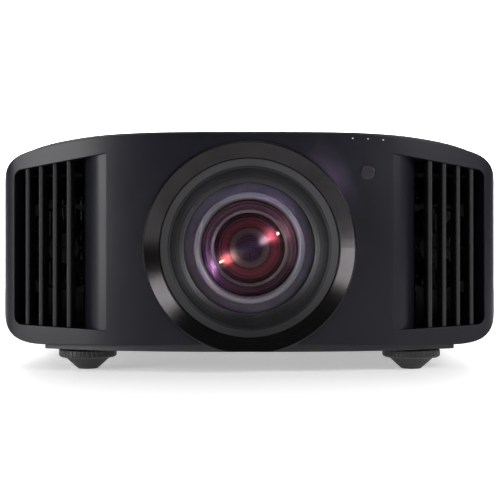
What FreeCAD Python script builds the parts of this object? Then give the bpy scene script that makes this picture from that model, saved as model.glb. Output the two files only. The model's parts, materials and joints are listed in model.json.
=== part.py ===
import FreeCAD, Part
import math
import os

os.makedirs("parts", exist_ok=True)
V = FreeCAD.Vector

# ---- driving dimensions, mm.  X right, Y to the back, Z up, origin under the middle at floor level ----
HALF_W = 250.0          # half of the overall width
Y_FRONT = -256.0        # front face of the bezel at its middle
Y_RING = -259.0         # front face of the lens surround ring
Y_REAR = 255.0          # end of the side walls
Z_TOP = 234.0           # crest of the top cover
Z_BASE = 20.5           # underside of the base tray
Z_SEAM = 62.0           # side seam between lower case and top cover
Z_LENS = 121.0          # lens axis height
WALL = 3.0
BEZEL_D = 14.0          # how far the bezel wraps back from its own front
SHIFT_V, SHIFT_H = 6.6, 5.2   # lens shift each way
FOOT_X, FOOT_YF, FOOT_YR = 163.0, -197.0, 185.0
FOOT_TRAVEL = 10.0
R_STUD, R_STUD_HOLE = 4.0, 4.06
FOCUS_TRAVEL, ZOOM_TRAVEL = 3.0, 9.0
GEAR_M, N_RING, N_PINION = 1.25, 100, 16
KEY_TRAVEL = 0.8
FAN_X, FAN_Z, FAN_Y0, FAN_Y1 = 196.0, 121.0, -146.0, -121.0

# how far the front sweeps back at each distance from the middle
SWEEP = [(0, 0), (48, 0.7), (97, 5.5), (127, 11.5), (160, 22), (190, 35.0), (215, 46.0), (232, 54.5), (242, 60.8), (247.6, 67.5), (250.6, 77), (252, 90)]
TOP_PTS = [(0, 234), (60, 234), (98, 233.8), (128, 233.0), (150, 231.9), (170, 230.0), (190, 227.4), (208, 223.8),
           (222, 219.6), (233, 214.6), (241.5, 208), (247.5, 199), (250, 188)]
LOW_PTS = [(0, 28.5), (75, 28.0), (150, 26.4), (190, 25.4), (212, 25.4), (226, 27.4), (236, 31.4), (243, 37.5),
           (248, 47), (250, 58)]


def out(name, shape):
    shape.exportStep("parts/%s.step" % name)


def box(x0, x1, y0, y1, z0, z1):
    return Part.makeBox(x1 - x0, y1 - y0, z1 - z0, V(x0, y0, z0))


def cyl_y(r, y0, y1, x=0.0, z=0.0):
    return Part.makeCylinder(r, y1 - y0, V(x, y0, z), V(0, 1, 0))


def cyl_z(r, z0, z1, x=0.0, y=0.0):
    return Part.makeCylinder(r, z1 - z0, V(x, y, z0), V(0, 0, 1))


def cyl_x(r, x0, x1, y=0.0, z=0.0):
    return Part.makeCylinder(r, x1 - x0, V(x0, y, z), V(1, 0, 0))


def fuse(parts):
    s = parts[0]
    if len(parts) > 1:
        s = s.fuse(parts[1:])
    return s.removeSplitter()


def spline(pts, t0=None, t1=None):
    c = Part.BSplineCurve()
    if t0 is not None:
        c.interpolate(Points=pts, InitialTangent=t0, FinalTangent=t1)
    else:
        c.interpolate(Points=pts)
    return c.toShape()


def mirror_pts(pts):
    return [(-x, v) for x, v in reversed(pts) if x > 0] + list(pts)


def poly(pts2, plane, at, depth):
    """Closed polygon in a plane ("xy" or "xz"), extruded by depth along the plane's normal (+Z or +Y)."""
    if plane == "xy":
        p = [V(a, b, at) for a, b in pts2]
        d = V(0, 0, depth)
    else:
        p = [V(a, at, b) for a, b in pts2]
        d = V(0, depth, 0)
    return Part.Face(Part.makePolygon(p + [p[0]])).extrude(d)


def rounded(pts2, radii, plane, at, depth):
    """Polygon with each corner rounded to its own radius, extruded."""
    n = len(pts2)
    P = [V(a, b, 0) for a, b in pts2]
    ins, outs, mids = [], [], []
    for i in range(n):
        p, q, r = P[i - 1], P[i], P[(i + 1) % n]
        u = (p - q).normalize()
        w = (r - q).normalize()
        half = u.getAngle(w) / 2.0
        rad = radii[i]
        t = rad / math.tan(half)
        a, b = q + u * t, q + w * t
        c = q + (u + w).normalize() * (rad / math.sin(half))
        m = c + (q - c).normalize() * rad if rad > 1e-6 else q
        ins.append(a)
        outs.append(b)
        mids.append(m)

    def at3(v):
        return V(v.x, v.y, at) if plane == "xy" else V(v.x, at, v.y)
    edges = []
    for i in range(n):
        if radii[i] > 1e-6:
            edges.append(Part.Arc(at3(ins[i]), at3(mids[i]), at3(outs[i])).toShape())
        j = (i + 1) % n
        if (outs[i] - ins[j]).Length > 1e-6:
            edges.append(Part.LineSegment(at3(outs[i]), at3(ins[j])).toShape())
    d = V(0, 0, depth) if plane == "xy" else V(0, depth, 0)
    return Part.Face(Part.Wire(edges)).extrude(d)


def rrect(x0, x1, z0, z1, r, y0, y1):
    return rounded([(x0, z0), (x1, z0), (x1, z1), (x0, z1)], [r] * 4, "xz", y0, y1 - y0)


def turned(pts, z=Z_LENS, x=0.0):
    """Solid of revolution about the lens direction from (radius, y) points."""
    p = [V(r, y, 0) for r, y in pts]
    f = Part.Face(Part.makePolygon(p + [p[0]]))
    s = f.revolve(V(0, 0, 0), V(0, 1, 0), 360)
    s.translate(V(x, 0, z))
    return s if s.Volume > 0 else s.reversed()


def turned_z(pts, x, y):
    p = [V(r, 0, z) for r, z in pts]
    f = Part.Face(Part.makePolygon(p + [p[0]]))
    s = f.revolve(V(0, 0, 0), V(0, 0, 1), 360)
    s.translate(V(x, y, 0))
    return s if s.Volume > 0 else s.reversed()


def sweep_y(x):
    """Front face position at |x|, straight lines between the sweep's points."""
    x = abs(x)
    for (a, da), (b, db) in zip(SWEEP, SWEEP[1:]):
        if x <= b:
            return Y_FRONT + da + (db - da) * (x - a) / (b - a)
    return Y_FRONT + SWEEP[-1][1]


def front_edge(dy, z=0.0):
    pts = [V(x, Y_FRONT + d + dy, z) for x, d in mirror_pts(SWEEP)]
    return spline(pts)


def plan_behind(dy, y1, z0=0.0, z1=240.0, r=10.0):
    """Everything between the swept front, moved back by dy, and y1."""
    e = front_edge(dy, z0)
    ye = Y_FRONT + SWEEP[-1][1] + dy
    HALF_W = SWEEP[-1][0]
    a, b = V(HALF_W, ye, z0), V(-HALF_W, ye, z0)
    k = r * (1 - math.sqrt(0.5))
    edges = [e, Part.LineSegment(a, V(HALF_W, y1 - r, z0)).toShape(),
             Part.Arc(V(HALF_W, y1 - r, z0), V(HALF_W - k, y1 - k, z0), V(HALF_W - r, y1, z0)).toShape(),
             Part.LineSegment(V(HALF_W - r, y1, z0), V(-HALF_W + r, y1, z0)).toShape(),
             Part.Arc(V(-HALF_W + r, y1, z0), V(-HALF_W + k, y1 - k, z0), V(-HALF_W, y1 - r, z0)).toShape(),
             Part.LineSegment(V(-HALF_W, y1 - r, z0), b).toShape()]
    return Part.Face(Part.Wire(edges)).extrude(V(0, 0, z1 - z0))


def plan_band(dy0, dy1, z0=0.0, z1=240.0):
    """Band between two copies of the swept front."""
    e0, e1 = front_edge(dy0, z0), front_edge(dy1, z0)
    y = Y_FRONT + SWEEP[-1][1]
    HALF_W = SWEEP[-1][0]
    edges = [e0, Part.LineSegment(V(HALF_W, y + dy0, z0), V(HALF_W, y + dy1, z0)).toShape(), e1,
             Part.LineSegment(V(-HALF_W, y + dy1, z0), V(-HALF_W, y + dy0, z0)).toShape()]
    return Part.Face(Part.Wire(Part.__sortEdges__(edges))).extrude(V(0, 0, z1 - z0))


def outline_wire(y0, inset=0.0, drop=0.0):
    """The body's front-view outline; drop lowers its top away from the corners."""
    def ins(pts, sgn):
        res = []
        for i, (x, z) in enumerate(pts):
            a = pts[max(i - 1, 0)]
            b = pts[min(i + 1, len(pts) - 1)]
            tx, tz = b[0] - a[0], b[1] - a[1]
            if i == 0:
                tx, tz = 1.0, 0.0
            if i == len(pts) - 1:
                tx, tz = 0.0, -sgn
            n = math.hypot(tx, tz)
            nx, nz = (-tz / n, tx / n) if sgn > 0 else (tz / n, -tx / n)
            res.append((x - nx * inset, z - nz * inset))
        return res
    top = [(x, z - drop * max(0.0, min(1.0, (244 - x) / 40.0))) for x, z in TOP_PTS]
    top = ins(top, 1)
    low = ins(LOW_PTS, -1)
    T = [V(x, y0, z) for x, z in mirror_pts(top)]
    B = [V(x, y0, z) for x, z in mirror_pts(low)]
    et = spline(T)
    eb = spline(B)
    edges = [et, Part.LineSegment(T[-1], B[-1]).toShape(), eb, Part.LineSegment(B[0], T[0]).toShape()]
    return Part.Wire(Part.__sortEdges__(edges))


def outline(y0, y1, inset=0.0, drop=0.0):
    return Part.Face(outline_wire(y0, inset, drop)).extrude(V(0, y1 - y0, 0))


def outline_shell(y0, y1, i0, i1, drop=0.0):
    """Tube between two insets of the outline."""
    f = Part.makeFace([outline_wire(y0, i0, drop), outline_wire(y0, i1, drop)], "Part::FaceMakerBullseye")
    return f.extrude(V(0, y1 - y0, 0))


def vent_shape(side, grow, y0, y1, x_in=139.0):
    """Vent opening in front view: its top falls and its bottom rises a little towards the outside."""
    x0, x1 = x_in - 0.0, 237.0 + grow
    top0 = 212.5 - (x0 - 143.0) * 0.145 + grow
    top1 = 212.5 - (x1 - 143.0) * 0.145 + grow
    low0 = 41.0 + (x0 - 143.0) * 0.036 - grow
    low1 = 41.0 + (x1 - 143.0) * 0.036 - grow
    pts = [(side * x0, low0), (side * x1, low1), (side * x1, top1), (side * x0, top0)]
    if side < 0:
        pts = pts[::-1]
        return rounded(pts, [0.0, 9.0 + grow, 9.0 + grow, 0.0], "xz", y0, y1 - y0)
    return rounded(pts, [0.0, 9.0 + grow, 9.0 + grow, 0.0], "xz", y0, y1 - y0)


# ================= front bezel =================
bez = outline(-262, -120, 0, 3.6).common(plan_band(0, BEZEL_D))
bez = bez.cut(outline(-262, -120, WALL, 3.6).common(plan_band(3.5, BEZEL_D + 30)))
bez = bez.cut(cyl_y(103.0, -265, -200, 0, Z_LENS))
for s in (-1, 1):
    bez = bez.cut(vent_shape(s, 0, -262, -150))
pods = []
for s in (-1, 1):
    # rounded shoulder beside the vent, running back into the case
    o = [(135.5, sweep_y(135.5) + 0.3), (141, sweep_y(141) + 0.9), (148, -235.6), (155, -229.0), (160.8, -220.2), (164.8, -209.5), (166.6, -196)]
    i = [(163.6, -196), (161.9, -208.4), (158.2, -218.2), (152.8, -226.2), (146.4, -232.6), (140, -236.6), (135.5, sweep_y(135.5) + 3.4)]
    eo = spline([V(s * x, y, 38) for x, y in o])
    ei = spline([V(s * x, y, 38) for x, y in i])
    w = Part.Wire(Part.__sortEdges__([eo, Part.LineSegment(V(s * o[-1][0], o[-1][1], 38), V(s * i[0][0], i[0][1], 38)).toShape(), ei,
                                      Part.LineSegment(V(s * i[-1][0], i[-1][1], 38), V(s * o[0][0], o[0][1], 38)).toShape()]))
    pod = Part.Face(w).extrude(V(0, 0, 178))
    pod = pod.common(vent_shape(s, 1.2, -262, -150, x_in=132.0))
    # ledges above, below and outside the opening
    col = vent_shape(s, 2.4, -262, -150).cut(vent_shape(s, 0, -262, -150)).common(plan_band(1.0, 36.0))
    col = col.common(outline(-262, -120, 1.0, 3.6))
    # slanted outer cheek of the opening
    cheek = poly([(s * 238.6, sweep_y(238.6) + 1.2), (s * 236.8, sweep_y(236.8) + 1.2), (s * 231.0, sweep_y(231) + 20), (s * 231.0, sweep_y(231) + 37), (s * 239.0, sweep_y(231) + 37)], "xy", 30.0, 190.0)
    cheek = cheek.common(vent_shape(s, 1.2, -262, -150))
    pods += [pod, col, cheek]
bez = fuse([bez] + pods)
# round window for the remote sensor and three light-pipe holes in the upper edge
WIN_X, WIN_Z = 114.0, 194.0
LED_X = (99.5, 114.5, 129.5)
bez = bez.cut(cyl_y(7.25, -262, -235, WIN_X, WIN_Z))
LED_Z = (226.6, 226.3, 225.7)
for x, z in zip(LED_X, LED_Z):
    bez = bez.cut(box(x - 0.95, x + 0.95, -262, -232.6, z - 0.75, z + 0.75)).cut(box(x - 0.95, x + 0.95, -236.4, -232.6, 221.0, z))
bez = max(bez.Solids, key=lambda q: q.Volume)


def ease(shape, size, pick):
    """Breaks the picked edges by size, one at a time where the whole set cannot be done."""
    es = [e for e in shape.Edges if pick(e)]
    try:
        r = shape.makeChamfer(size, es)
        if r.isValid() and r.Volume > 0.9 * shape.Volume:
            return r
    except Exception:
        pass
    return shape


def front_rim(e):
    """Long edges lying on the swept front face at the top or bottom of the outline."""
    if e.Length < 60:
        return False
    a, b = e.ParameterRange
    for k in range(1, 6):
        p = e.valueAt(a + (b - a) * k / 6.0)
        if abs(p.y - sweep_y(p.x)) > 2.0 or (40 < p.z < 200 and abs(p.x) < 243):
            return False
    return True


print("rim edges", len([e for e in bez.Edges if front_rim(e)]))
v0 = bez.Volume
bez = ease(bez, 0.9, front_rim)
print("rim eased by", v0 - bez.Volume)
out("front_bezel", bez)

# sensor window: a lens disc with a flange behind the panel
yw = sweep_y(WIN_X)
win = cyl_y(7.0, yw - 0.9, yw + 5.0, WIN_X, WIN_Z).fuse(cyl_y(9.5, yw + 5.0, yw + 7.0, WIN_X, WIN_Z))
win = win.makeFillet(0.6, [e for e in win.Edges if abs(e.BoundBox.YMin - (yw - 0.9)) < 0.01 and abs(e.BoundBox.YMax - (yw - 0.9)) < 0.01])
out("front_sensor_window", win)
# one clear moulding: three light pipes on a bar
pipes = [box(x - 0.8, x + 0.8, sweep_y(x) - 0.1, -233, z - 0.6, z + 0.6) for x, z in zip(LED_X, LED_Z)]
pipes += [box(x - 0.8, x + 0.8, -236, -233, 221, z + 0.6) for x, z in zip(LED_X, LED_Z)]
out("status_light_guide", fuse(pipes + [box(97, 132, -236, -233, 218, 222.5)]))

# ================= top cover and lower case =================
shell = outline_shell(-262, Y_REAR, 0, WALL).common(plan_behind(BEZEL_D + 0.4, Y_REAR, r=0.5))
# lip at the rear that the rear panel screws onto
lip = outline_shell(247.0, 249.6, WALL - 0.5, WALL + 7.0)
top = shell.common(box(-260, 260, -262, 262, Z_SEAM + 0.2, 240))
top = fuse([top, lip.common(box(-260, 260, -262, 262, Z_SEAM + 0.2, 240))])
# shallow step in the cover behind its front lip, and exhaust slots along both flanks
for s in (-1, 1):
    for k in range(12):
        y = 60 + k * 13.0
        slot = box(min(s * 240, s * 256), max(s * 240, s * 256), y, y + 5, 92, 168)
        top = top.cut(slot)
top = max(top.Solids, key=lambda q: q.Volume)
out("top_cover", top)

low = shell.common(box(-260, 260, -262, 262, 0, Z_SEAM - 0.2))
low = fuse([low, lip.common(box(-260, 260, -262, 262, 0, Z_SEAM - 0.2))])
# base tray: walls from the floor up into the shell, with the floor itself 3 mm thick
tray = plan_behind(9.0, 246.0, Z_BASE, 31.0, r=26.0).common(box(-205, 205, -262, 262, Z_BASE, 31.0))
tray = tray.makeFillet(3.0, [e for e in tray.Edges if abs(e.BoundBox.ZLength - 10.5) < 0.01 and e.BoundBox.YMax < 0])
hollow = plan_behind(12.0, 243.0, Z_BASE + 3.0, 40.0, r=26.0).common(box(-202, 202, -262, 262, Z_BASE + 3.0, 40.0))
front_gap = plan_band(-2.0, BEZEL_D + 0.3, 24.9, 60.0)
low = low.cut(hollow).cut(front_gap)
tray = tray.cut(hollow).cut(outline(-262, 262, -0.3, 3.6).common(plan_band(-2.0, BEZEL_D + 0.3)))
low = fuse([low, tray])
bosses, holes = [], []
FEET = {"front_left": (-FOOT_X, FOOT_YF), "front_right": (FOOT_X, FOOT_YF), "rear_left": (-FOOT_X, FOOT_YR), "rear_right": (FOOT_X, FOOT_YR)}
for x, y in FEET.values():
    bosses.append(cyl_z(11.0, Z_BASE, 38.0, x, y))
    holes.append(cyl_z(R_STUD_HOLE, 10, 37.0, x, y))
MOUNT_X, MOUNT_Y = 120.0, 150.0
for sx in (-1, 1):
    for sy in (-1, 1):
        bosses.append(cyl_z(8.0, Z_BASE, 38.0, sx * MOUNT_X, sy * MOUNT_Y))
        holes.append(cyl_z(2.5, 10, 33.0, sx * MOUNT_X, sy * MOUNT_Y))
low = fuse([low] + bosses)
for h in holes:
    low = low.cut(h)
for s in (-1, 1):
    for k in range(9):
        low = low.cut(box(min(s * 40, s * 96), max(s * 40, s * 96), -60 + k * 14.0, -54 + k * 14.0, 15, 30))
low = low.cut(cyl_y(103.2, -265, -235, 0, Z_LENS))
low = max(low.Solids, key=lambda q: q.Volume)
out("lower_case", low)

# ================= trim ring and recess round the lens =================
ring = turned([(102.5, -236), (102.5, -258.3), (101.9, -259), (100.9, -259), (88.2, -250.6), (87.2, -250.2), (87.2, -246.2), (98.5, -246.2), (98.5, -236)])
ring = ring.common(box(-200, 200, -300, 0, Z_BASE + 1.0, 300))
out("lens_surround_ring", ring)
shroud = turned([(98.2, -245.9), (86.9, -245.9), (86.9, -248.2), (86.2, -248.8), (79.6, -246.4), (78.8, -245.4), (78.6, -243.2), (77.6, -242.2),
                 (75.6, -236.0), (72.6, -230.8), (69.2, -226.6), (66.2, -224.0), (64.9, -223.2), (64.6, -222.2),
                 (67.4, -222.2), (70.6, -224.6), (74.6, -229.6), (77.8, -235.2), (79.8, -241.0), (82.0, -243.2), (98.2, -243.2)])
shroud = shroud.common(box(-200, 200, -300, 0, Z_BASE + 1.2, 300))
out("lens_recess_shroud", shroud)

# ================= vent louvres =================
for s, nm in ((-1, "left"), (1, "right")):
    blades = []
    for bx in (178.3, 193.2, 208.2, 222.8):
        y = sweep_y(bx) + 2.5
        pts = [(s * (bx - 1.0), y), (s * (bx + 1.0), y), (s * (bx + 1.95), y + 1.0), (s * (bx + 2.0), y + 3.0), (s * (bx + 1.2), y + 36), (s * (bx - 1.2), y + 36), (s * (bx - 2.0), y + 3.0), (s * (bx - 1.95), y + 1.0)]
        blades.append(poly(pts, "xy", 36.0, 180.0))
    bars = []
    for z0, z1 in ((47, 50), (120, 122.4), (193, 196)):
        b = plan_band(27.0, 33.0, z0, z1).common(box(min(s * 168, s * 230.9), max(s * 168, s * 230.9), -262, 0, 0, 240))
        bars.append(b)
    lou = fuse(blades + bars).common(vent_shape(s, -0.4, -262, -120))
    out("%s_vent_louvre" % nm, max(lou.Solids, key=lambda q: q.Volume))

# ================= lens =================
out("lens_barrel", turned([(50.0, -212), (54.0, -212), (54.0, -150), (54.0, -146.2), (54.0, -84), (50.0, -84)]).cut(cyl_y(2.0, -300, -299)))
fr = turned([(48.6, -212.1), (48.6, -219.2), (50.2, -221.4), (51.0, -221.8), (54.6, -221.8), (55.5, -220.9), (55.5, -212.1)])
out("lens_front_ring", fr)


def lens(r, ya, yb, sa, sb):
    """Glass disc: edges at ya and yb; each face bulges towards the front by sa and towards the back by sb at its middle."""
    n = 10
    front = [(r * k / n, ya - sa * (1 - (k / n) ** 2)) for k in range(n + 1)]
    back = [(r * k / n, yb + sb * (1 - (k / n) ** 2)) for k in range(n, -1, -1)]
    f = [V(a, b, 0) for a, b in front]
    g = [V(a, b, 0) for a, b in back]
    e1, e2 = spline(f), spline(g)
    w = Part.Wire([e1, Part.LineSegment(f[-1], g[0]).toShape(), e2, Part.LineSegment(g[-1], f[0]).toShape()])
    s = Part.Face(w).revolve(V(0, 0, 0), V(0, 1, 0), 360)
    s.translate(V(0, 0, Z_LENS))
    return s if s.Volume > 0 else s.reversed()


out("front_lens_element", lens(48.4, -212.3, -206.0, 6.0, 4.5))
YF = -186.0
cell = turned([(49.92, YF - 7), (49.92, YF + 12), (36.6, YF + 12), (36.6, YF - 1), (36.2, YF - 3), (38.6, YF - 7)])
cell = cell.common(turned([(37.4, YF - 8), (60, YF - 8), (60, YF + 13), (36.4, YF + 13), (36.4, YF - 4)]))
out("focus_cell", cell)
out("focus_lens", lens(36.2, YF, YF + 6.0, 5.0, 3.0))
YZ = -140.0
out("zoom_cell", turned([(49.92, YZ - 8), (49.92, YZ + 14), (30.4, YZ + 14), (30.4, YZ - 4), (33.0, YZ - 8)]))
out("zoom_lens", lens(30.2, YZ - 2, YZ + 6.0, 5.0, 4.0))


def gear(n, y0, y1, cx, cz, phase, bore, th=0.40, add=0.75, ded=1.15, web=None):
    """Spur gear about Y through (cx, cz); a tooth is centred at angle phase (degrees, from +X towards +Z)."""
    rp = GEAR_M * n / 2.0
    ra, rr = rp + add * GEAR_M, rp - ded * GEAR_M
    p = 2 * math.pi / n
    pts = []
    for k in range(n):
        a = math.radians(phase) + k * p
        ht = th * p / 2.0
        dr = math.tan(math.radians(20)) * (ra - rp) / rp
        dd = math.tan(math.radians(20)) * (rp - rr) / rp
        for r, off in ((rr, -ht - dd), (rp, -ht), (ra, -ht + dr * 1.25), (ra, ht - dr * 1.25), (rp, ht), (rr, ht + dd)):
            pts.append((cx + r * math.cos(a + off), cz + r * math.sin(a + off)))
    g = poly(pts, "xz", y0, y1 - y0)
    return g.cut(cyl_y(bore, y0 - 1, y1 + 1, cx, cz))


CD = GEAR_M * (N_RING + N_PINION) / 2.0 + 0.1
PIN = {}
for nm, ang, y0, y1 in (("focus", 45.0, -184.0, -176.0), ("zoom", 225.0, -170.0, -162.0)):
    cx, cz = CD * math.cos(math.radians(ang)), Z_LENS + CD * math.sin(math.radians(ang))
    PIN[nm] = (cx, cz)
    ringg = gear(N_RING, y0, y1, 0, Z_LENS, ang, 54.07)
    out("%s_ring_gear" % nm, ringg)
    # the pinion has a gap, not a tooth, facing the ring
    pin = gear(N_PINION, y0 - 1.0, y1 + 1.0, cx, cz, ang + 180.0 + 360.0 / N_PINION / 2, 2.53)
    hub = cyl_y(5.0, y1 + 1.0, y1 + 4.0, cx, cz).cut(cyl_y(2.53, y0, y1 + 9, cx, cz))
    out("%s_pinion" % nm, fuse([pin, hub]))
# two small motors in front of their pinions, each on a bracket off the barrel
motors = []
for nm, y0, y1 in (("focus", -210.0, -186.6), ("zoom", -196.0, -172.6)):
    cx, cz = PIN[nm]
    ux, uz = cx / CD, (cz - Z_LENS) / CD
    m = cyl_y(8.6, y0, y1, cx, cz).fuse(cyl_y(2.5, y1, y1 + 16.5, cx, cz))
    n = V(ux, 0, uz)
    t = V(-uz, 0, ux)
    p = [n * 54.05 + t * 7 + V(0, y0 + 2, Z_LENS), n * 54.05 - t * 7 + V(0, y0 + 2, Z_LENS), n * 66 - t * 7 + V(0, y0 + 2, Z_LENS), n * 66 + t * 7 + V(0, y0 + 2, Z_LENS)]
    br = Part.Face(Part.makePolygon(p + [p[0]])).extrude(V(0, 7, 0)).cut(cyl_y(54.05, -300, 0, 0, Z_LENS))
    motors.append(fuse([m, br]))
out("lens_motors", Part.makeCompound(motors))

# ================= lens shift =================
# fixed frame < vertical carriage < lens flange (moves sideways with the whole lens)
out("lens_mount_flange", rrect(-74, 74, Z_LENS - 74, Z_LENS + 74, 8, -142, -135).cut(cyl_y(54.05, -150, -100, 0, Z_LENS))
    .fuse(box(-12, 12, -146, -135, Z_LENS - 86, Z_LENS - 72).cut(cyl_x(2.56, -20, 20, -139, Z_LENS - 80))).removeSplitter())
vc = rrect(-92, 92, Z_LENS - 88, Z_LENS + 84, 6, -134, -127).cut(cyl_y(64.0, -150, -100, 0, Z_LENS))
ears = [box(s * 54 - 4, s * 54 + 4, -145, -130, Z_LENS - 86, Z_LENS - 75).cut(cyl_x(2.56, -100, 100, -139, Z_LENS - 80)) for s in (-1, 1)]
nut = box(92 - 8, 92 + 14, -134, -127, Z_LENS - 8, Z_LENS + 8).fuse(box(93, 107, -134, -120, Z_LENS - 8, Z_LENS + 8)).cut(cyl_z(2.56, 0, 240, 100, -126.8))
out("vertical_shift_carriage", fuse([vc, nut] + ears))
sf = rrect(-112, 112, 24.0, 222.0, 6, -126.4 + 7.0, -112.0).cut(cyl_y(66.0, -150, -100, 0, Z_LENS))
brk = [box(94, 112, -134, -114, z - 3, z + 3).cut(cyl_z(2.56, 0, 240, 100, -126.8)) for z in (Z_LENS - 26, Z_LENS + 26)]
feet = [box(s * 90 - 12, s * 90 + 12, -119, -90, 23.5, 27.0) for s in (-1, 1)]
out("shift_frame", fuse([sf] + brk + feet))
out("vertical_lead_screw", cyl_z(2.5, Z_LENS - 34, Z_LENS + 34, 100, -126.8).fuse(cyl_z(5.0, Z_LENS + 29.4, Z_LENS + 38, 100, -126.8)).removeSplitter())
out("horizontal_lead_screw", cyl_x(2.5, -62, 62, -139, Z_LENS - 80).fuse(cyl_x(4.5, 58.4, 66, -139, Z_LENS - 80)).removeSplitter())

# ================= light engine, light source, electronics =================
eng = box(-74, 74, -78, 70, 62, 172).cut(box(-70, 70, -74, 66, 66, 168)).cut(cyl_y(40, -90, -60, 0, Z_LENS))
eng = eng.makeFillet(4.0, [e for e in eng.Edges if abs(e.BoundBox.ZLength - 110) < 0.1])
legs = [box(sx * 62 - 6, sx * 62 + 6, sy * 60 - 4 - 6, sy * 60 - 4 + 6, 23.5, 62) for sx in (-1, 1) for sy in (-1, 1)]
out("light_engine_housing", fuse([eng] + legs))
fins = [box(-226 + k * 7.0, -224 + k * 7.0, -60, 70, 70, 176) for k in range(15)]
out("laser_light_source", fuse([box(-228, -124, -60, 70, 60, 72), box(-126, -76, -20, 40, 70, 150), box(-200, -184, -50, -40, 23.5, 61), box(-200, -184, 50, 60, 23.5, 61),
                                box(-110, -94, 0, 20, 23.5, 71)] + fins))
psu = [box(96, 226, -60, 190, 44, 46), box(104, 150, -40, 30, 46, 96), box(160, 218, -40, 20, 46, 84), box(104, 140, 50, 120, 46, 92)]
psu += [cyl_z(11, 46, 88, 170 + 26 * i, 60 + 30 * j) for i in range(2) for j in range(4)]
psu += [cyl_z(3.5, 23.5 if x < 200 else 33.0, 44.5, x, y) for x in (104, 218) for y in (-52, 182)]
out("power_supply", fuse(psu))
mb = [box(-90, 200, 60, 236, 190, 191.6), box(-60, -20, 90, 130, 191, 194), box(10, 50, 90, 130, 191, 196), box(80, 96, 90, 150, 191, 193),
      box(120, 136, 90, 150, 191, 193), box(-60, 60, 200, 232, 191, 198)]
mb += [box(x - 4, x + 4, 246.6, 249.8, 186, 192) for x in ()] + [cyl_z(3.0, 172, 190.5, x, y) for x, y in ((-68, 64), (68, 64))]
mb += [box(-90, -86, 236, 247, 190, 191.6), box(196, 200, 236, 247, 190, 191.6)]
out("main_board", fuse(mb))

# ================= fans behind the front vents =================
frames = []
FAN_R = 43.0
for s, nm in ((-1, "left"), (1, "right")):
    cx = s * FAN_X
    f = rrect(cx - 46, cx + 46, FAN_Z - 46, FAN_Z + 46, 6, FAN_Y0, FAN_Y1).cut(cyl_y(FAN_R + 0.8, FAN_Y0 - 1, FAN_Y1 + 1, cx, FAN_Z))
    hub = cyl_y(16, FAN_Y1 - 4, FAN_Y1, cx, FAN_Z).fuse(cyl_y(1.5, FAN_Y1 - 18, FAN_Y1 - 3, cx, FAN_Z))
    arms = [box(cx - 45, cx + 45, FAN_Y1 - 4, FAN_Y1 - 1, FAN_Z - 3, FAN_Z + 3), box(cx - 3, cx + 3, FAN_Y1 - 4, FAN_Y1 - 1, FAN_Z - 45, FAN_Z + 45)]
    bracket = box(cx - 20, cx + 20, FAN_Y0 + 4, FAN_Y1 - 4, 31.5, FAN_Z - 45.5)
    f = f.fuse([hub, bracket] + [a.cut(cyl_y(15.5, -300, 0, cx, FAN_Z)) for a in arms]).removeSplitter()
    frames.append(f)
    h = cyl_y(16, FAN_Y0 + 1, FAN_Y1 - 5, cx, FAN_Z).cut(cyl_y(1.55, FAN_Y0 + 2.5, FAN_Y1, cx, FAN_Z))
    bl = []
    for k in range(7):
        b = Part.makeBox(27.6, 1.8, 15.0, V(14.5, -0.9, -7.5))
        b.rotate(V(0, 0, 0), V(1, 0, 0), 38)
        b.rotate(V(0, 0, 0), V(1, 0, 0), 90)
        b.rotate(V(0, 0, 0), V(0, 1, 0), k * 360.0 / 7)
        b.translate(V(cx, (FAN_Y0 + FAN_Y1) / 2 - 2, FAN_Z))
        bl.append(b)
    imp = fuse([h] + bl).common(cyl_y(FAN_R, FAN_Y0 + 0.5, FAN_Y1 - 4.5, cx, FAN_Z)).cut(cyl_y(1.55, FAN_Y0 + 2.5, FAN_Y1, cx, FAN_Z))
    out("%s_fan_impeller" % nm, max(imp.Solids, key=lambda q: q.Volume))
out("fan_frames", Part.makeCompound(frames))

# ================= rear panel =================
rp = outline(249.8, 252.8, WALL + 0.4, 0)
INTAKES = {"left": (-226.0, -118.0), "right": (118.0, 226.0)}
IZ0, IZ1 = 72.0, 182.0
for x0, x1 in INTAKES.values():
    rp = rp.cut(rrect(x0, x1, IZ0, IZ1, 5, 240, 260))
PX0, PX1, PZ0, PZ1 = -104.0, 104.0, 44.0, 92.0
rp = rp.cut(rrect(PX0 + 3, PX1 - 3, PZ0 + 3, PZ1 - 3, 3, 240, 260))
KEYS = {"key_power": (-62.0, 152.0, 5.0), "key_input": (-38.0, 152.0, 5.0), "key_menu": (-14.0, 152.0, 5.0), "key_ok": (40.0, 152.0, 6.0),
        "key_up": (40.0, 169.0, 4.5), "key_down": (40.0, 135.0, 4.5), "key_left": (23.0, 152.0, 4.5), "key_right": (57.0, 152.0, 4.5)}
for x, z, r in KEYS.values():
    rp = rp.cut(cyl_y(r + 0.35, 240, 260, x, z))
SCREWS_Y = [(x, z) for x in (-232.0, -104.0, 104.0, 232.0) for z in (50.0, 200.0)]
SCREWS_Y = [(-225.0, 48.0), (-112.0, 206.0), (112.0, 206.0), (225.0, 48.0), (-234.0, 192.0), (234.0, 192.0), (-112.0, 40.0), (112.0, 40.0)]
for x, z in SCREWS_Y:
    rp = rp.cut(cyl_y(1.7, 240, 260, x, z))
out("rear_panel", max(rp.Solids, key=lambda q: q.Volume))
for nm, (x, z, r) in KEYS.items():
    k = cyl_y(r, 249.0, 254.6, x, z).fuse(cyl_y(r + 1.6, 246.6, 249.0, x, z)).removeSplitter()
    k = k.makeFillet(0.7, [e for e in k.Edges if abs(e.BoundBox.YMin - 254.6) < 0.01 and abs(e.BoundBox.YMax - 254.6) < 0.01])
    out(nm, k)

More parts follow.
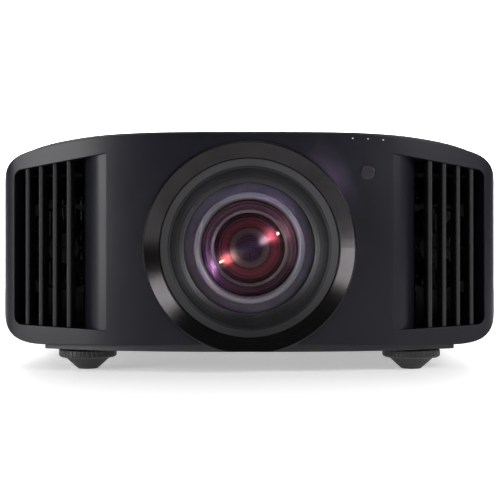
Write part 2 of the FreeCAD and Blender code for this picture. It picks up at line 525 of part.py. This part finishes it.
# connector plate with its sockets, each one a shell open to the back
plate = rrect(PX0, PX1, PZ0, PZ1, 4, 252.8, 254.0)
IN_X, IN_Z = -76.0, 68.0
HDMI = [(-30.0, 60.0), (-30.0, 76.0)]
LAN = (2.0, 68.0)
TRIG = (30.0, 68.0)
plate = plate.cut(box(IN_X - 14.2, IN_X + 14.2, 240, 260, IN_Z - 10.2, IN_Z + 10.2))
for x, z in HDMI:
    plate = plate.cut(box(x - 8.2, x + 8.2, 240, 260, z - 3.7, z + 3.7))
plate = plate.cut(box(LAN[0] - 8.2, LAN[0] + 8.2, 240, 260, LAN[1] - 7.2, LAN[1] + 7.2)).cut(cyl_y(4.1, 240, 260, *TRIG))
PLATE_SCREWS = [(-100.0, 48.5), (100.0, 48.5), (-100.0, 87.5), (100.0, 87.5), (52.0, 68.0), (88.0, 68.0)]
out("connector_plate", plate)
c14 = rrect(IN_X - 14, IN_X + 14, IN_Z - 10, IN_Z + 10, 3, 228, 254.2).fuse(rrect(IN_X - 16.5, IN_X + 16.5, IN_Z - 12.5, IN_Z + 12.5, 3, 254.05, 255.0))
c14 = c14.cut(rounded([(IN_X - 12, IN_Z - 8), (IN_X + 12, IN_Z - 8), (IN_X + 12, IN_Z + 8), (IN_X - 12, IN_Z + 8)], [1, 1, 5, 5], "xz", 238, 30))
pins = [box(IN_X + dx - 1, IN_X + dx + 1, 236, 249.5, IN_Z + dz - 2, IN_Z + dz + 2) for dx, dz in ((-7, -3.6), (7, -3.6), (0, 3.6))]
out("power_inlet", fuse([c14.removeSplitter()] + pins))
hd = []
for x, z in HDMI:
    sh = box(x - 8, x + 8, 238, 254.4, z - 3.5, z + 3.5).cut(poly([(x - 7.2, z - 0.6), (x - 5.4, z - 2.6), (x + 5.4, z - 2.6), (x + 7.2, z - 0.6), (x + 7.2, z + 2.6), (x - 7.2, z + 2.6)], "xz", 241, 20))
    hd.append(sh.fuse(box(x - 5.8, x + 5.8, 240.5, 252.5, z + 0.1, z + 0.9)))
out("hdmi_sockets", Part.makeCompound(hd))
ln = box(LAN[0] - 8, LAN[0] + 8, 234, 254.4, LAN[1] - 7, LAN[1] + 7).cut(box(LAN[0] - 6, LAN[0] + 6, 238, 260, LAN[1] - 3.6, LAN[1] + 4.6)).cut(box(LAN[0] - 3, LAN[0] + 3, 238, 260, LAN[1] - 5.6, LAN[1] - 3.5))
out("lan_socket", ln)
tj = cyl_y(4.0, 240, 255.0, *TRIG).fuse(box(TRIG[0] - 5.5, TRIG[0] + 5.5, 234, 248, TRIG[1] - 5, TRIG[1] + 5)).cut(cyl_y(1.8, 237, 260, *TRIG))
out("trigger_jack", tj.removeSplitter())

# ================= rear intake doors and dust filters =================
for nm, (x0, x1) in INTAKES.items():
    d = rrect(x0 - 5, x1 + 5, IZ0 - 5, IZ1 + 5, 7, 253.1, 259.0)
    d = d.fuse(rrect(x0 + 0.5, x1 - 0.5, IZ0 + 0.5, IZ1 - 0.5, 4.5, 247.0, 253.2).cut(rrect(x0 + 2.5, x1 - 2.5, IZ0 + 2.5, IZ1 - 2.5, 3, 246, 253.0)))
    for k in range(14):
        z = IZ0 + 6.0 + k * 7.2
        d = d.cut(rrect(x0 + 8, x1 - 8, z, z + 3.6, 1.7, 246, 260))
    # finger recess in the outer edge for pulling the door off
    d = d.removeSplitter()
    out("%s_filter_door" % nm, max(d.Solids, key=lambda q: q.Volume))
    f = rrect(x0 + 2.8, x1 - 2.8, IZ0 + 2.8, IZ1 - 2.8, 3, 243.6, 252.9)
    out("%s_dust_filter" % nm, f)

# ================= levelling feet =================
R_KNOB = 28.9
for nm, (x, y) in FEET.items():
    kn = turned_z([(0, 11.6), (R_KNOB - 2.4, 11.6), (R_KNOB - 0.6, 12.6), (R_KNOB, 13.8), (R_KNOB, 18.6), (R_KNOB - 0.8, 19.5), (6.5, 19.5), (6.5, 20.2), (R_STUD, 20.2), (R_STUD, 35.6), (R_STUD - 0.6, 36.2), (0, 36.2)], x, y)
    cuts = []
    for k in range(40):
        a = 2 * math.pi * (k + 0.5) / 40
        cuts.append(cyl_z(0.95, 11, 19.6, x + (R_KNOB + 0.35) * math.cos(a), y + (R_KNOB + 0.35) * math.sin(a)))
    kn = kn.cut(Part.makeCompound(cuts)).cut(cyl_z(5.04, 10, 14.6, x, y))
    out("foot_knob_%s" % nm, max(kn.Solids, key=lambda q: q.Volume))
    pad = turned_z([(0, 0), (9.9, 0), (10.4, 0.6), (12.6, 2.4), (22.0, 11.0), (22.0, 11.3), (5.0, 11.3), (5.0, 14.3), (0, 14.3)], x, y)
    out("foot_pad_%s" % nm, pad)

# ================= screws =================
sc = []
for x, z in SCREWS_Y:
    sc.append(cyl_y(1.5, 246.0, 253.4, x, z).fuse(cyl_y(2.9, 252.85, 254.4, x, z)).cut(box(x - 2, x + 2, 253.8, 255, z - 0.35, z + 0.35)).cut(box(x - 0.35, x + 0.35, 253.8, 255, z - 2, z + 2)).removeSplitter())
BOTTOM_SCREWS = [(-150.0, 60.0), (150.0, 60.0), (-190.0, -60.0), (190.0, -60.0), (-60.0, 225.0), (60.0, 225.0)]
for x, y in BOTTOM_SCREWS:
    sc.append(cyl_z(2.9, 19.0, 20.45, x, y).cut(box(x - 2, x + 2, y - 0.35, y + 0.35, 18, 19.6)).cut(box(x - 0.35, x + 0.35, y - 2, y + 2, 18, 19.6)))
out("case_screws", Part.makeCompound(sc))
print("parts", len(os.listdir("parts")))
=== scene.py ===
import bpy, bmesh, json, math
from mathutils import Vector, Matrix


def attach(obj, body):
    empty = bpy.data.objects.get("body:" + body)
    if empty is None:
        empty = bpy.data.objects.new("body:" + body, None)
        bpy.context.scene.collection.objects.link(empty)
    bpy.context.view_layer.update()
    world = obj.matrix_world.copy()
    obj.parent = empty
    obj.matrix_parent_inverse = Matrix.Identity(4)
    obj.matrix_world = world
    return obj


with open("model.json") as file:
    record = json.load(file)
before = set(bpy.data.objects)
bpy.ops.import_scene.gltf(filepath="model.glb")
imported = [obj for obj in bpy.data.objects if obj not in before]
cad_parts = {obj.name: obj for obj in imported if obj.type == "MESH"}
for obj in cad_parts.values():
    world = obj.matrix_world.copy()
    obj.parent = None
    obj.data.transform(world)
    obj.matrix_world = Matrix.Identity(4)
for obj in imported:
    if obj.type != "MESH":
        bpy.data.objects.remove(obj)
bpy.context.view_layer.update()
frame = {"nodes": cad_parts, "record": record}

NODES = frame["nodes"]
RECORD = frame["record"]
MM = 0.001
Z_LENS = 0.121
SLOT = {s["node"]: s["material_slot"] for s in RECORD["subparts"]}

# ---------------------------------------------------------------- materials
class Mat:
    """A node material on a Principled shader, with small helpers."""
    def __init__(self, name):
        self.m = bpy.data.materials.new(name)
        self.m.use_nodes = True
        self.t = self.m.node_tree
        self.n, self.l = self.t.nodes, self.t.links
        self.b = self.n["Principled BSDF"]
        self.co = self.n.new("ShaderNodeTexCoord").outputs["Object"]

    def set(self, **kw):
        for k, v in kw.items():
            self.b.inputs[k.replace("_", " ")].default_value = v
        return self

    def noise(self, scale, detail=4.0, rough=0.6, vec=None):
        x = self.n.new("ShaderNodeTexNoise")
        x.inputs["Scale"].default_value = scale
        x.inputs["Detail"].default_value = detail
        x.inputs["Roughness"].default_value = rough
        self.l.new(vec or self.co, x.inputs["Vector"])
        return x.outputs["Fac"]

    def voronoi(self, scale, vec=None, feature="F1"):
        x = self.n.new("ShaderNodeTexVoronoi")
        x.feature = feature
        x.inputs["Scale"].default_value = scale
        self.l.new(vec or self.co, x.inputs["Vector"])
        return x.outputs["Distance"]

    def mapped(self, scale):
        x = self.n.new("ShaderNodeMapping")
        x.inputs["Scale"].default_value = scale
        self.l.new(self.co, x.inputs["Vector"])
        return x.outputs["Vector"]

    def ramp(self, fac, stops):
        x = self.n.new("ShaderNodeValToRGB")
        e = x.color_ramp.elements
        while len(e) < len(stops):
            e.new(0.5)
        for el, (p, c) in zip(e, stops):
            el.position = p
            el.color = (c, c, c, 1) if isinstance(c, (int, float)) else (*c, 1)
        self.l.new(fac, x.inputs["Fac"])
        return x.outputs["Color"]

    def range(self, fac, lo, hi, a=0.3, b=0.7):
        x = self.n.new("ShaderNodeMapRange")
        for k, v in (("From Min", a), ("From Max", b), ("To Min", lo), ("To Max", hi)):
            x.inputs[k].default_value = v
        self.l.new(fac, x.inputs["Value"])
        return x.outputs["Result"]

    def math(self, op, a, b=None):
        x = self.n.new("ShaderNodeMath")
        x.operation = op
        for i, v in enumerate((a, b)):
            if v is None:
                continue
            if isinstance(v, (int, float)):
                x.inputs[i].default_value = v
            else:
                self.l.new(v, x.inputs[i])
        return x.outputs[0]

    def link(self, out, name):
        self.l.new(out, self.b.inputs[name])
        return self

    def bump(self, h, strength=0.2, dist=0.0002, bevel=0.0):
        x = self.n.new("ShaderNodeBump")
        x.inputs["Strength"].default_value = strength
        x.inputs["Distance"].default_value = dist
        self.l.new(h, x.inputs["Height"])
        if bevel:
            v = self.n.new("ShaderNodeBevel")
            v.samples = 4
            v.inputs["Radius"].default_value = bevel
            self.l.new(v.outputs["Normal"], x.inputs["Normal"])
        self.l.new(x.outputs["Normal"], self.b.inputs["Normal"])
        return self

    def radius(self):
        """Distance from the lens axis, in metres."""
        s = self.n.new("ShaderNodeSeparateXYZ")
        self.l.new(self.co, s.inputs[0])
        dz = self.math("SUBTRACT", s.outputs[2], Z_LENS)
        return self.math("SQRT", self.math("ADD", self.math("MULTIPLY", s.outputs[0], s.outputs[0]), self.math("MULTIPLY", dz, dz)))


def plastic(name, dark, light, r0, r1, grain=2600.0, strength=0.12, bevel=0.0005, spec=0.5, dist=0.00012):
    """Moulded plastic: fine spark-eroded grain, faint mottling in colour and gloss."""
    m = Mat(name)
    big, fine = m.noise(9.0, 3.0), m.noise(grain, 2.0, 0.5)
    m.link(m.ramp(big, [(0.3, dark), (0.7, light)]), "Base Color")
    m.link(m.range(m.math("ADD", m.math("MULTIPLY", big, 0.6), m.math("MULTIPLY", fine, 0.4)), r0, r1), "Roughness")
    m.set(Specular_IOR_Level=spec)
    m.bump(m.math("ADD", m.voronoi(grain * 0.6), fine), strength, dist, bevel)
    return m


def metal(name, dark, light, r0, r1, turned=False, aniso=0.0, bevel=0.0004, metallic=1.0, strength=0.08):
    m = Mat(name)
    if turned:
        r = m.radius()
        c = m.n.new("ShaderNodeCombineXYZ")
        m.l.new(r, c.inputs[0])
        grain = m.noise(5200.0, 3.0, 0.65, c.outputs[0])
    else:
        grain = m.noise(900.0, 5.0)
    big = m.noise(14.0, 3.0)
    m.link(m.ramp(m.math("ADD", m.math("MULTIPLY", big, 0.5), m.math("MULTIPLY", grain, 0.5)), [(0.35, dark), (0.65, light)]), "Base Color")
    m.link(m.range(grain, r0, r1), "Roughness")
    m.set(Metallic=metallic)
    if aniso:
        m.set(Anisotropic=aniso)
        m.b.inputs["Anisotropic Rotation"].default_value = 0.25
        t = m.n.new("ShaderNodeTangent")
        t.direction_type, t.axis = "RADIAL", "Y"
        m.l.new(t.outputs[0], m.b.inputs["Tangent"])
    m.bump(grain, strength, 0.00005, bevel)
    return m


M = {}
M["case_satin"] = plastic("case_satin", (0.0052, 0.0052, 0.0092), (0.0068, 0.0068, 0.0116), 0.30, 0.40, 3200, 0.10, spec=0.22, bevel=0.0011).m
M["case_side"] = plastic("case_side", (0.0085, 0.0085, 0.0110), (0.0120, 0.0120, 0.0150), 0.42, 0.55, 1700, 0.35, dist=0.0002).m
M["black_matte"] = plastic("black_matte", (0.0065, 0.0063, 0.0072), (0.0100, 0.0098, 0.0108), 0.42, 0.56, 2400, 0.16).m
M["key_plastic"] = plastic("key_plastic", (0.020, 0.020, 0.024), (0.030, 0.030, 0.034), 0.35, 0.5, 2600, 0.12).m
M["fan_black"] = plastic("fan_black", (0.004, 0.004, 0.005), (0.007, 0.007, 0.008), 0.45, 0.62, 900, 0.2).m
M["trim_metal"] = metal("trim_metal", (0.018, 0.017, 0.018), (0.042, 0.039, 0.040), 0.22, 0.30, True, 0.8, metallic=0.95).m
M["barrel_grey"] = metal("barrel_grey", (0.085, 0.083, 0.088), (0.125, 0.122, 0.128), 0.38, 0.48, True, 0.3, metallic=0.5).m
M["magnesium"] = metal("magnesium", (0.26, 0.27, 0.28), (0.40, 0.41, 0.42), 0.42, 0.6, strength=0.3).m
M["steel"] = metal("steel", (0.42, 0.43, 0.45), (0.60, 0.61, 0.63), 0.22, 0.36).m
M["brass"] = metal("brass", (0.58, 0.40, 0.15), (0.76, 0.56, 0.26), 0.22, 0.36).m
M["gear_nylon"] = plastic("gear_nylon", (0.62, 0.61, 0.56), (0.74, 0.73, 0.68), 0.38, 0.5, 1500, 0.1).m
M["light_pipe"] = plastic("light_pipe", (0.55, 0.58, 0.62), (0.70, 0.73, 0.76), 0.12, 0.2, 900, 0.03).set(Transmission_Weight=0.3).m
M["window_black"] = plastic("window_black", (0.020, 0.018, 0.024), (0.030, 0.027, 0.034), 0.16, 0.24, 900, 0.02, spec=0.6).m
M["circuit"] = plastic("circuit", (0.010, 0.075, 0.035), (0.020, 0.12, 0.055), 0.3, 0.45, 500, 0.2).m
M["rubber"] = plastic("rubber", (0.011, 0.011, 0.011), (0.018, 0.018, 0.018), 0.62, 0.8, 1400, 0.3).m

foam = Mat("foam")
cell = foam.voronoi(900.0)
foam.link(foam.ramp(cell, [(0.1, 0.012), (0.6, 0.085)]), "Base Color").set(Roughness=0.95)
foam.bump(cell, 0.9, 0.0008)
M["foam"] = foam.m


def glass(name, tint, alpha, film, ior=1.38):
    """Coated optical glass: see-through body, sharp reflection with an interference tint."""
    m = Mat(name)
    n = m.noise(22.0, 2.0)
    m.link(m.ramp(n, [(0.2, tuple(v * 0.9 for v in tint)), (0.8, tint)]), "Base Color")
    m.set(Roughness=0.015, Alpha=alpha, IOR=1.6, Thin_Film_Thickness=film, Thin_Film_IOR=ior, Specular_IOR_Level=0.8)
    return m.m


M["lens_glass"] = glass("lens_glass", (0.020, 0.008, 0.022), 0.07, 430.0)


def by_radius(name, stops, rough, metallic=1.0, coat=0.0, spec=0.5, grooves=0.0, rmax=50.0, aniso=0.0):
    """Colour by distance from the lens axis, as the coatings, blacking and machined lips of a lens are laid."""
    m = Mat(name)
    f = m.math("DIVIDE", m.radius(), rmax * MM)
    n = m.noise(60.0, 3.0)
    f2 = m.math("ADD", f, m.math("MULTIPLY", m.math("SUBTRACT", n, 0.5), 0.006))
    m.link(m.ramp(f2, [(r / rmax, c) for r, c in stops]), "Base Color")
    m.link(m.range(n, rough * 0.9, rough * 1.15), "Roughness")
    m.set(Metallic=metallic, Coat_Weight=coat, Specular_IOR_Level=spec)
    if aniso:
        m.set(Anisotropic=aniso)
        m.b.inputs["Anisotropic Rotation"].default_value = 0.25
        t = m.n.new("ShaderNodeTangent")
        t.direction_type, t.axis = "RADIAL", "Y"
        m.l.new(t.outputs[0], m.b.inputs["Tangent"])
    if grooves:
        x = m.n.new("ShaderNodeMath"); x.operation = "SINE"
        m.l.new(m.math("MULTIPLY", m.radius(), 2 * math.pi / (grooves * MM)), x.inputs[0])
        m.bump(x.outputs[0], 0.5, 0.0002)
    return m.m


M["cell_front"] = by_radius("cell_front", [(0, (0.16, 0.15, 0.16)), (38.4, (0.20, 0.19, 0.20)), (38.7, (0.012, 0.006, 0.014)), (43.0, (0.022, 0.010, 0.024)),
                                            (43.5, (0.008, 0.004, 0.010)), (47.0, (0.030, 0.014, 0.034)), (49.0, (0.010, 0.005, 0.012))], 0.30, metallic=0.4)
M["tube_black"] = by_radius("tube_black", [(0, (0.010, 0.006, 0.013)), (50, (0.020, 0.010, 0.024))], 0.34, metallic=0.0, grooves=1.6)
# element coatings in zones about the axis: dark pupil, pale and red anti-reflection zones, blacked edge
M["coating_a"] = by_radius("coating_a", [(0, (0.007, 0.009, 0.016)), (5.0, (0.004, 0.005, 0.009)), (12.5, (0.006, 0.006, 0.010)), (15.5, (0.040, 0.037, 0.031)), (19.0, (0.060, 0.050, 0.041)), (21.0, (0.018, 0.006, 0.009)),
                                          (23.5, (0.080, 0.016, 0.023)), (27.5, (0.095, 0.019, 0.026)), (29.0, (0.030, 0.007, 0.011)), (30.6, (0.075, 0.030, 0.032)), (31.4, (0.010, 0.005, 0.007)),
                                          (34.0, (0.008, 0.005, 0.008)), (36.2, (0.006, 0.004, 0.006))], 0.31, metallic=1.0, aniso=1.0)
M["tube_coated"] = by_radius("tube_coated", [(0, (0.010, 0.006, 0.010)), (38.6, (0.010, 0.006, 0.010)), (39.6, (0.050, 0.038, 0.046)), (40.6, (0.014, 0.007, 0.012)), (42.4, (0.075, 0.040, 0.066)), (44.6, (0.020, 0.010, 0.018)),
                                              (46.0, (0.060, 0.032, 0.054)), (47.6, (0.010, 0.006, 0.010)), (50.0, (0.006, 0.004, 0.006))], 0.31, metallic=1.0, aniso=1.0)
special = {"focus_cell": "cell_front", "focus_lens": "coating_a", "lens_barrel": "magnesium"}

for name, ob in NODES.items():
    m = M[special.get(name, SLOT[name])]
    ob.data.materials.clear()
    ob.data.materials.append(m)
    ob.data.polygons.foreach_set("use_smooth", [True] * len(ob.data.polygons))
    md = ob.modifiers.new("edges", "EDGE_SPLIT")
    md.split_angle = math.radians(26)
    md.use_edge_sharp = False


# ---------------------------------------------------------------- helpers for new pieces
def new_mesh(name, verts, faces, mat, body, smooth=True, split=28):
    me = bpy.data.meshes.new(name)
    me.from_pydata(verts, [], faces)
    me.validate()
    bm = bmesh.new(); bm.from_mesh(me)
    bmesh.ops.recalc_face_normals(bm, faces=bm.faces)
    bm.to_mesh(me); bm.free()
    me.materials.append(mat)
    me.polygons.foreach_set("use_smooth", [smooth] * len(me.polygons))
    ob = bpy.data.objects.new(name, me)
    bpy.context.scene.collection.objects.link(ob)
    if smooth:
        md = ob.modifiers.new("edges", "EDGE_SPLIT")
        md.split_angle = math.radians(split)
    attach(ob, body)
    return ob


def turned(name, prof, mat, body, slot, seg=160, z=Z_LENS, closed=True, split=28):
    """Ring turned about the lens axis from (radius, y) points in mm."""
    verts, faces = [], []
    k = len(prof)
    for i in range(seg):
        a = 2 * math.pi * i / seg
        for r, y in prof:
            verts.append((r * MM * math.cos(a), y * MM, z + r * MM * math.sin(a)))
    for i in range(seg):
        j = (i + 1) % seg
        for p in range(k if closed else k - 1):
            q = (p + 1) % k
            faces.append((i * k + p, j * k + p, j * k + q, i * k + q))
    return new_mesh(name, verts, faces, mat, body, split=split)


# ---------------------------------------------------------------- inside the lens
# thin black baffle sheet across the gap between the shroud and the barrel: a dark sheet standing in for the shade in
# that gap, which also hides the parts behind it
turned("lens_baffle_shade_sheet", [(54.3, -210.9), (72.0, -210.9), (72.0, -210.5), (54.3, -210.5)], M["black_matte"], "lens", "black_matte")

def dome(name, r0, ya, bulge, n, mat, body, slot, thick=1.0, r_in=0.0):
    """Thin coated dish: its front face bulges towards the front by bulge (negative is hollow) at the middle."""
    rr = [r_in + (r0 - r_in) * k / n for k in range(n + 1)]
    front = [(max(r, 0.02), ya - bulge * (1 - (r / r0) ** 2)) for r in rr]
    back = [(max(r, 0.02), ya + thick - bulge * (1 - (r / r0) ** 2)) for r in reversed(rr)]
    return turned(name, front + back, mat, body, slot, seg=128, split=50)


# coated outer zone behind the front glass: a shallow cone with fine lips, stepping in to the focus cell
LIPS = (47.0, 43.6, 40.8)
prof = [(49.8, -205.4), (48.4, -205.4), (48.2, -202.0)]
for r in LIPS:
    y = -199.8 - (r - 39.0) * 0.215
    prof += [(r + 0.32, y - 0.07), (r + 0.20, y - 0.42), (r - 0.12, y - 0.38), (r - 0.24, y + 0.05)]
prof += [(39.3, -199.8), (38.9, -199.4), (38.9, -196.6), (49.8, -196.6)]
turned("lens_outer_zone", prof, M["tube_coated"], "lens", "lens_glass", seg=200, split=24)

# ---------------------------------------------------------------- stage, light, camera
def stage_plane(name, verts, col, rough=0.6, emit=0.0):
    me = bpy.data.meshes.new(name)
    me.from_pydata(verts, [], [tuple(range(len(verts)))])
    ob = bpy.data.objects.new(name, me)
    bpy.context.scene.collection.objects.link(ob)
    m = Mat(name)
    n = m.noise(3.0)
    m.link(m.ramp(n, [(0.2, col), (0.8, col * 1.01)]), "Base Color").set(Roughness=rough)
    if emit:
        m.set(Emission_Color=(1, 1, 1, 1), Emission_Strength=emit)
    me.materials.append(m.m)
    return ob


stage_plane("floor", [(-6, -6, 0), (6, -6, 0), (6, 4, 0), (-6, 4, 0)], 0.86, emit=0.42)
stage_plane("backdrop", [(-6, 4, 0), (6, 4, 0), (6, 4, 5), (-6, 4, 5)], 0.86, emit=0.5)


def area(name, loc, to, sx, sy, power, col=(1, 1, 1)):
    d = bpy.data.lights.new(name, "AREA")
    d.shape, d.size, d.size_y, d.energy, d.color = "RECTANGLE", sx, sy, power, col
    o = bpy.data.objects.new(name, d)
    bpy.context.scene.collection.objects.link(o)
    o.location = loc
    o.rotation_euler = (Vector(to) - Vector(loc)).to_track_quat("-Z", "Y").to_euler()
    return o


area("top_soft", (0, 1.0, 2.6), (0, 0.5, 0), 3.0, 2.0, 38)
area("left_soft", (-1.75, -1.20, 0.42), (0, -0.2, 0.12), 0.9, 0.75, 26)
area("right_soft", (1.50, -1.10, 0.92), (0, -0.2, 0.12), 0.75, 0.6, 22)
# two narrow beams kept to the lens, one from each side of its diagonal
for name, loc, size, spread, power, col in (("flare_right", (0.72, -2.35, 0.50), 0.10, 2.4, 0.062, (0.80, 0.62, 1.0)), ("flare_left", (-0.215, -0.80, 0.022), 0.03, 8.0, 0.017, (1.0, 0.74, 0.56))):
    o = area(name, loc, (0, -0.2, 0.121), size, size, power, col)
    o.data.spread = math.radians(spread)
area("back_soft", (0, 2.4, 1.6), (0, 4, 1.0), 4.0, 2.0, 230)

w = bpy.data.worlds.new("studio")
w.use_nodes = True
w.node_tree.nodes["Background"].inputs[0].default_value = (1, 1, 1, 1)
w.node_tree.nodes["Background"].inputs[1].default_value = 0.06
bpy.context.scene.world = w
bpy.context.scene.view_settings.view_transform = "Standard"

cam = bpy.data.cameras.new("camera")
cam.lens, cam.sensor_width = 82.9, 36.0
cam.clip_start, cam.clip_end = 0.05, 50
co = bpy.data.objects.new("camera", cam)
bpy.context.scene.collection.objects.link(co)
co.location = (0.0005, -0.259 - 1.100, 0.119)
co.rotation_euler = (math.radians(90), 0, 0)
bpy.context.scene.camera = co
